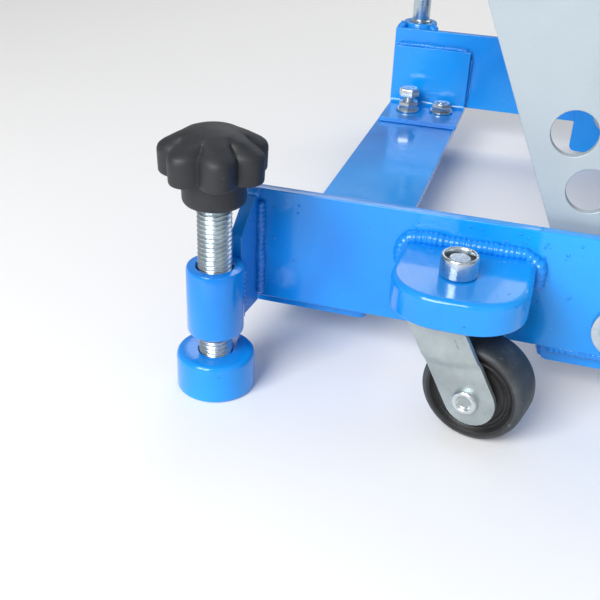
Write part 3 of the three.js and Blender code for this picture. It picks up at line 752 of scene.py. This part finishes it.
fork = {
    "sliceLow": 5.0, "sliceStep": 0.9, "slices": 16, "acrossLow": -12, "acrossTop": 30, "acrossStep": 3,
    "legInner": 15.5, "creaseTop": 24, "creaseHeight": 13.0, "creaseStart": -8, "creaseSlope": -0.22,
    "creaseCurve": 0.012, "creaseWidth": 4.5, "creaseDepth": 1.3, "easing": 0.45,
}
casterWheel = {
    "trail": 18.5, "hubHeight": -7, "treadRadius": 24.0,
    "rivet": [(0, 18.2), (2.0, 18.5), (3.2, 19.4), (4.2, 20.6), (5.4, 20.7), (6.3, 20.1), (6.7, 19.2),
              (6.7, 15.2), (0, 15.2)],
    "half": [(4.4, 14.6), (8.2, 14.6), (8.9, 14.0), (9.3, 10.4), (16.6, 9.4), (17.4, 9.9), (18.6, 10.0),
             (19.2, 9.4), (19.8, 9.3), (20.6, 9.8), (21.2, 10.8), (22.0, 11.7), (23.4, 11.9),
             (25.0, 11.3), (26.3, 9.8), (26.85, 7.8), (27.0, 4.0)],
}


def hollowed(bm):
    under = [f for f in bm.faces if f.normal.z < -0.9]
    bmesh.ops.inset_region(bm, faces=under, thickness=bracket["wall"] * mm, use_even_offset=True)
    lifted = bmesh.ops.extrude_face_region(bm, geom=under)["geom"]
    bmesh.ops.delete(bm, geom=under, context="FACES")
    bmesh.ops.translate(bm, verts=[g for g in lifted if isinstance(g, bmesh.types.BMVert)],
                        vec=(0, 0, bracket["hollow"] * mm))
    bmesh.ops.recalc_face_normals(bm, faces=bm.faces)


def edgesAt(bm, height):
    level = height * mm + corner.z
    return [e for e in bm.edges if all(abs(v.co.z - level) < 1e-5 for v in e.verts)]


def bracketMesh(x, face, out):
    bm = bmesh.new()
    farFace = face + out * bracket["deep"]
    y0, y1 = sorted((face, farFace))
    block(at(x - bracket["left"], y0, bracket["low"]), at(x + bracket["right"], y1, bracket["top"]), bm)
    far = farFace * mm + corner.y
    upright = [e for e in bm.edges if abs(e.verts[0].co.z - e.verts[1].co.z) > 5 * mm
               and abs(e.verts[0].co.y - far) < 1e-5]
    bevelEdges(bm, upright, bracket["corner"], 14)
    hollowed(bm)
    bevelEdges(bm, edgesAt(bm, bracket["top"]), bracket["topEasing"], 5)
    lip = [e for e in edgesAt(bm, bracket["low"]) if len(e.link_faces) == 2 and e.calc_face_angle(0) > 0.5]
    bevelEdges(bm, lip, bracket["lipEasing"], 3)
    return bm


def sliced(bm, spot, normal):
    bmesh.ops.bisect_plane(bm, geom=bm.verts[:] + bm.edges[:] + bm.faces[:], dist=1e-7, plane_co=spot,
                           plane_no=normal)


def forkMesh(node, stem, turn):  # the lower part of each leg is pressed inwards along a curved crease
    bm = copied(node)
    for i in range(fork["slices"]):
        sliced(bm, at(0, 0, fork["sliceLow"] + i * fork["sliceStep"]), (0, 0, 1))
    for x in range(fork["acrossLow"], fork["acrossTop"], fork["acrossStep"]):
        sliced(bm, stem + turn @ (Vector((x, 0, 0)) * mm), turn @ Vector((1, 0, 0)))
    back = turn.inverted()
    for v in bm.verts:
        own = back @ (v.co - stem) / mm
        if abs(own.y) < fork["legInner"] or own.z > fork["creaseTop"]:
            continue
        along = own.x - fork["creaseStart"]
        crease = fork["creaseHeight"] + fork["creaseSlope"] * along + fork["creaseCurve"] * along ** 2
        step = min(1, max(0, (crease - own.z) / fork["creaseWidth"]))
        own.y -= math.copysign(fork["creaseDepth"] * step * step * (3 - 2 * step), own.y)
        v.co = stem + turn @ (own * mm)
    bevelSharp(bm, fork["easing"], 40)
    splitManySided(bm)
    return bm


def addCasterPost(end, stem):
    nut = casterPost["nut"]
    sleeve = spun(roundedProfile(nut + nut[:1], 0.4, 3)[:-1], "z", stem, 64, True)
    finishMesh("caster_sleeve_nut_" + end, sleeve, zinc, "base", ["caster_nut_" + end], 40)
    post = spun(casterPost["shank"], "z", stem, 48)
    threaded(stem, casterPost["threadLow"], casterPost["threadTop"], casterPost["threadRadius"],
             casterPost["pitch"], casterPost["threadDepth"], 40, post)
    finishMesh("caster_post_" + end, post, zinc, "base", ["caster_stem_" + end], 40)
    grease = spun(casterPost["grease"], "z", stem, 40, True)
    finishMesh("caster_grease_" + end, grease, darkSteel, "base", (), 50)


def addRivets(end, hub, sideways):
    heads = bmesh.new()
    for side in (1, -1):
        dish = [(r, h * side) for r, h in roundedProfile(casterWheel["rivet"], 0.5, 3)]
        spun(dish, sideways, hub, 44, False, heads)
    clean(heads)
    finishMesh("caster_rivets_" + end, heads, zinc, "swivel_" + end, (), 36)


def addCasterWheel(end, hub, sideways):
    wheel = spun(mirrored(casterWheel["half"]), sideways, hub, 88, True)
    dustTread(wheel, hub, sideways[0], casterWheel["treadRadius"])
    finishMesh("caster_tyre_" + end, wheel, [wheelBlack, treadDust], "roller_" + end,
               ["caster_wheel_" + end], 30)


for end, caster in casters.items():
    x, y = caster["stem"]
    stem = at(x, y, 0)
    finishMesh("caster_plate_" + end, bracketMesh(x, caster["face"], caster["out"]), enamel, "base",
               ["caster_bracket_" + end], 32, True)
    addCasterPost(end, stem)
    turn = Matrix.Rotation(math.radians(caster["swivel"]), 4, "Z")
    finishMesh("caster_yoke_" + end, forkMesh("caster_fork_" + end, stem, turn), stamped,
               "swivel_" + end, ["caster_fork_" + end], 34, True)
    hub = stem + turn @ Vector((casterWheel["trail"] * mm, 0, casterWheel["hubHeight"] * mm))
    sideways = (turn @ Vector((0, 1, 0)), Vector((0, 0, 1)))
    addRivets(end, hub, sideways)
    addCasterWheel(end, hub, sideways)
print("casters made")


# pivots of the arms
pivotShaft = {
    "half": [(9.9, 0), (9.9, 201.6), (9.5, 203.2), (8.4, 203.75), (3.4, 203.75), (2.6, 203.2),
             (1.4, 201.9), (0, 201.2)],
    "collarInner": 10.2, "collarOuter": 14.8, "collarHalf": 1.4, "collarEasing": 0.4,
    "washerInner": 10.4, "washerOuter": 15.0, "washerHalf": 1.45, "washerEasing": 0.5,
}
outsideRails = {"front": -1.8, "rear": rearOuter + 1.8}


def addPivotShaft(node, x, z):
    half = pivotShaft["half"]
    rod = spun([(r, -h) for r, h in reversed(half)][:-1] + half, "y", at(x, middleY, z), 56)
    if node == "shaft_b":
        collar = collarProfile(pivotShaft["collarInner"], pivotShaft["collarOuter"],
                               pivotShaft["collarHalf"], pivotShaft["collarEasing"])
        for y in outsideRails.values():
            spun(collar, "y", at(x, y, z), 56, True, rod)
    finishMesh(node + "_rod", rod, darkSteel, "base", [node], 32)


def addPivotWasher(end, x, y, z):
    section = collarProfile(pivotShaft["washerInner"], pivotShaft["washerOuter"],
                            pivotShaft["washerHalf"], pivotShaft["washerEasing"])
    finishMesh("pivot_washer_" + end, spun(section, "y", at(x, y, z), 64, True), zinc, "base",
               ["washer_a_" + end], 32)


addPivotShaft("shaft_a", *pivotA)
addPivotShaft("shaft_b", *pivotB)
for end, y in outsideRails.items():
    addPivotWasher(end, pivotA[0], y, pivotA[1])


# tube that the ram pushes, welded between the arms
pushBar = {
    "radius": 12.5, "chamfer": 0.8, "weldRadius": 13.2, "weldInset": 1.2, "weldSize": 1.7, "ripple": 2.6,
    "weldPoints": 24,
}


def addPushBar():
    low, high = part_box("push_bar")
    centre = (low + high) / 2
    half = (high.y - low.y) / 2 / mm
    radius, chamfer = pushBar["radius"], pushBar["chamfer"]
    tube = spun([(0, -half), (radius - chamfer, -half), (radius, -half + chamfer),
                 (radius, half - chamfer), (radius - chamfer, half), (0, half)], "y", centre, 56)
    finishMesh("push_tube", tube, silver, "arms_b", ["push_bar"], 32)
    inset = pushBar["weldInset"] * mm
    for end, y in (("front", low.y + inset), ("rear", high.y - inset)):
        loop = []
        for i in range(pushBar["weldPoints"] + 1):
            angle = i / pushBar["weldPoints"] * math.tau
            loop.append(((centre.x - corner.x) / mm + pushBar["weldRadius"] * math.cos(angle),
                         (y - corner.y) / mm,
                         (centre.z - corner.z) / mm + pushBar["weldRadius"] * math.sin(angle)))
        weld("weld_push_" + end, loop, pushBar["weldSize"], "arms_b", silver, pushBar["ripple"])


addPushBar()


# platform: the shafts at its corners and the ribbed pads on its beams
platformShaft = {"radius": 7.9, "dimple": 2.2, "dimpleDepth": 0.6, "flat": 6.8, "chamfer": 1.1}
saddlePad = {
    "ribs": 21, "ribHalf": 3.0, "ribInset": 3, "ribDepth": 3, "baseDrop": 1.6, "ribEasing": 0.9,
    "easing": 2.2,
}


def addPlatformShaft(node):
    low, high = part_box(node)
    half = (high.y - low.y) / 2 / mm
    profile = pinProfile(platformShaft["radius"], half, platformShaft["dimple"],
                         platformShaft["dimpleDepth"], platformShaft["flat"], platformShaft["chamfer"])
    finishMesh(node + "_rod", spun(profile, "y", (low + high) / 2, 48), zinc, "platform",
               [node], 32)


def addSaddlePad(node):
    low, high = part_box(node)
    pad = bmesh.new()
    block(low, high - Vector((0, 0, saddlePad["baseDrop"] * mm)), pad, saddlePad["easing"], 4)
    inset, half, depth = (saddlePad[k] * mm for k in ("ribInset", "ribHalf", "ribDepth"))
    for i in range(saddlePad["ribs"]):
        y = low.y + (i + 1) * (high.y - low.y) / (saddlePad["ribs"] + 1)
        block((low.x + inset, y - half, high.z - depth), (high.x - inset, y + half, high.z), pad,
              saddlePad["ribEasing"])
    finishMesh(node + "_ribbed", pad, padRubber, "platform", [node], 32, True)


for node in ("platform_shaft_a", "platform_shaft_b"):
    addPlatformShaft(node)
for node in ("saddle_pad_left", "saddle_pad_right"):
    addSaddlePad(node)
print("arms and platform made")


# fixed wheels and their axle
roadWheel = {
    "x": 586, "z": 16, "offset": 24.9, "treadRadius": 44.5,
    "half": [(8.4, 15.0), (16.0, 15.0), (17.0, 14.0), (17.4, 11.6), (19.0, 11.0), (31.0, 11.0),
             (32.8, 11.6), (33.6, 13.8), (34.8, 14.9), (43.0, 14.9), (45.4, 14.2), (48.4, 11.2),
             (49.6, 8.4), (50, 3.0)],
}
axle = {
    "radius": 7.9, "half": middleY + 43.9, "dimple": 2.4, "dimpleDepth": 0.8, "flat": 6.4, "chamfer": 1.4,
    "collarInner": 8.0, "collarOuter": 12.9, "easing": 0.5,
    "collars": [(-41.9, 1.9), (rearOuter + 41.9, 1.9), (-5.0, 4.6), (rearOuter + 5.0, 4.6)],
}


def addRoadWheel(end, y, body):
    hub = at(roadWheel["x"], y, roadWheel["z"])
    wheel = spun(mirrored(roadWheel["half"]), "y", hub, 96, True)
    dustTread(wheel, hub, axes["y"][0], roadWheel["treadRadius"])
    finishMesh("road_wheel_" + end, wheel, [wheelBlack, treadDust], body,
               ["wheel_" + end], 24)


def addAxle():
    profile = pinProfile(axle["radius"], axle["half"], axle["dimple"], axle["dimpleDepth"], axle["flat"],
                         axle["chamfer"])
    bm = spun(profile, "y", at(roadWheel["x"], middleY, roadWheel["z"]), 48)
    for y, half in axle["collars"]:
        section = collarProfile(axle["collarInner"], axle["collarOuter"], half, axle["easing"])
        spun(section, "y", at(roadWheel["x"], y, roadWheel["z"]), 48, True, bm)
    finishMesh("axle_rod", bm, zinc, "base", ["wheel_axle"], 32)


addRoadWheel("front", -roadWheel["offset"], "front_wheel")
addRoadWheel("rear", rearOuter + roadWheel["offset"], "rear_wheel")
addAxle()
print("wheels made")


# hydraulic ram: heights run along its tilted axis from the foot of the square on pivot B
ram = {
    "tilt": 15, "offset": 89, "easing": 0.7, "rodEasing": 0.5,
    "barrel": [(0, -240), (28.6, -240), (30, -238.4), (30, -216), (29.0, -215), (29.0, -214), (30, -213),
               (30, -84), (27.4, -82), (26, -81), (26, -69.4), (24.6, -68), (18.8, -68), (18.6, -69),
               (18.6, -228), (0, -228)],
    "wiper": [(18.2, -70.5), (20.6, -70.5), (20.8, -67.4), (20.2, -66.4), (18.4, -66.2)],
    "rodRadius": 18, "rodLow": -142, "headRadius": 25, "headLength": 9,
}


def addRam():
    tilt = math.radians(ram["tilt"])
    along = Vector((math.cos(tilt), 0, math.sin(tilt)))
    foot = at(pivotB[0] - ram["offset"] * math.sin(tilt), middleY, pivotB[1] + ram["offset"] * math.cos(tilt))
    axis = (along, Vector((0, 1, 0)))
    barrel = spun(roundedProfile(ram["barrel"], ram["easing"], 3), axis, foot, 88)
    finishMesh("ram_barrel", barrel, enamel, "base", ["ram_cylinder"], 32)
    wiper = spun(ram["wiper"], axis, foot, 64, True)
    finishMesh("ram_wiper", wiper, padRubber, "base", (), 40)
    reach = max((v.co - foot).dot(along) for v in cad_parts["ram_piston"].data.vertices) / mm
    radius, low, head = ram["rodRadius"], ram["rodLow"], ram["headRadius"]
    neck = reach - ram["headLength"]
    rod = [(0, low), (radius - 0.6, low), (radius, low + 0.8), (radius, neck - 1.5), (radius + 0.6, neck),
           (head - 0.8, neck), (head, neck + 1), (head, reach - 1), (head - 0.8, reach), (0, reach)]
    finishMesh("ram_rod_polished", spun(roundedProfile(rod, ram["rodEasing"], 3), axis, foot, 80), chrome,
               "ram_rod", ["ram_piston"], 30)


addRam()


# pump: pipe, fittings on the block and plunger
pump = {
    "pipeNutRadius": 8.6, "pipeNutDepth": 12, "pipeNutOut": 7, "pipeNutY": 139.75, "pipeNutZ": 60,
    "screwX": (8, 44), "screwY": (10, 84), "screwZ": 96,
    "screw": [(0, 3.4), (2.2, 3.6), (2.6, 5.2), (4.4, 5.3), (5.0, 4.7), (5.0, 0), (0, 0)],
    "plungerRadius": 5.95,
    "gland": [(6.3, 96.2), (10.4, 96.2), (11, 96.8), (11, 99.6), (10.2, 100.4), (7.0, 100.4),
              (6.3, 99.6)],
}


def addFittings():
    bm = bmesh.new()
    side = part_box("pump_block")[0]
    spot = Vector((side.x - pump["pipeNutOut"] * mm, at(0, pump["pipeNutY"], 0).y,
                   at(0, 0, pump["pipeNutZ"]).z))
    radius = pump["pipeNutRadius"] * mm
    bmesh.ops.create_cone(bm, cap_ends=True, segments=6, radius1=radius, radius2=radius,
                          depth=pump["pipeNutDepth"] * mm,
                          matrix=Matrix.Translation(spot) @ Matrix.Rotation(math.pi / 2, 4, "Y"))
    bevelEdges(bm, [e for e in bm.edges if abs(e.verts[0].co.x - e.verts[1].co.x) < 1e-6], 1.0, 2)
    for y in pump["screwY"]:
        for x in pump["screwX"]:
            spot = Vector((side.x + x * mm, side.y + y * mm, corner.z + pump["screwZ"] * mm))
            spun(pump["screw"], "z", spot, 32, False, bm)
    clean(bm)
    finishMesh("pump_fittings", bm, zinc, "base", (), 32)


def addPlunger():
    low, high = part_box("pump_plunger")
    spot = Vector(((low.x + high.x) / 2, (low.y + high.y) / 2, 0))
    z0, z1 = low.z / mm, high.z / mm
    radius = pump["plungerRadius"]
    rod = [(0, z0), (radius - 0.75, z0), (radius, z0 + 0.8), (radius, z1 - 3), (radius - 0.75, z1 - 1),
           (3.4, z1), (0, z1)]
    finishMesh("plunger_rod", spun(rod, "z", spot, 40), chrome, "plunger",
               ["pump_plunger"], 32)
    gland = spun(pump["gland"], "z", spot + Vector((0, 0, corner.z)), 48, True)
    finishMesh("plunger_gland", gland, zinc, "base", (), 32)


softened("pump_pipe", zinc, "base", 0)
addFittings()
addPlunger()


# raised ribs across the tread of the pedal
pedal = {
    "ribs": 6, "first": 8, "spacing": 8.2, "halfWidth": 1.6, "halfLength": 29, "below": 1.0,
    "above": 1.4, "easing": 0.8,
}


def addPedalRibs():
    low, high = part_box("pump_pedal")
    bm = bmesh.new()
    y = (low.y + high.y) / 2
    width, length, below, above = (
        pedal[k] * mm for k in ("halfWidth", "halfLength", "below", "above"))
    for i in range(pedal["ribs"]):
        x = high.x - (pedal["first"] + i * pedal["spacing"]) * mm
        block((x - width, y - length, high.z - below), (x + width, y + length, high.z + above), bm,
              pedal["easing"])
    # ribs in the darker enamel copy, whose colour is painted shade
    finishMesh("pedal_ribs", bm, enamelPaintedShade, "pedal", (), 32, True)


addPedalRibs()


# fluted knob of the release valve
grip = {
    "spot": (560, 135.0, 68), "flutes": 24, "fluteDepth": 0.045, "fluteFrom": 12.6, "easing": 0.8,
    "outline": [(0, 40), (4, 40), (4, 61.6), (11.6, 62), (13.3, 64), (13.4, 75.6), (11.8, 77.8),
                (6, 77.6), (4.4, 76.4), (0, 76.2)],
}


def addReleaseGrip():
    valve = at(*grip["spot"])
    bm = spun(roundedProfile(grip["outline"], grip["easing"], 3), "x", valve, 96)
    for v in bm.verts:
        away = v.co - valve
        if math.hypot(away.y, away.z) > grip["fluteFrom"] * mm:
            groove = 0.5 + 0.5 * math.cos(grip["flutes"] * math.atan2(away.z, away.y))
            v.co.y -= away.y * grip["fluteDepth"] * groove
            v.co.z -= away.z * grip["fluteDepth"] * groove
    finishMesh("release_grip", bm, plastic, "release", ["release_knob"], 40)


addReleaseGrip()
print("ram and pump made")
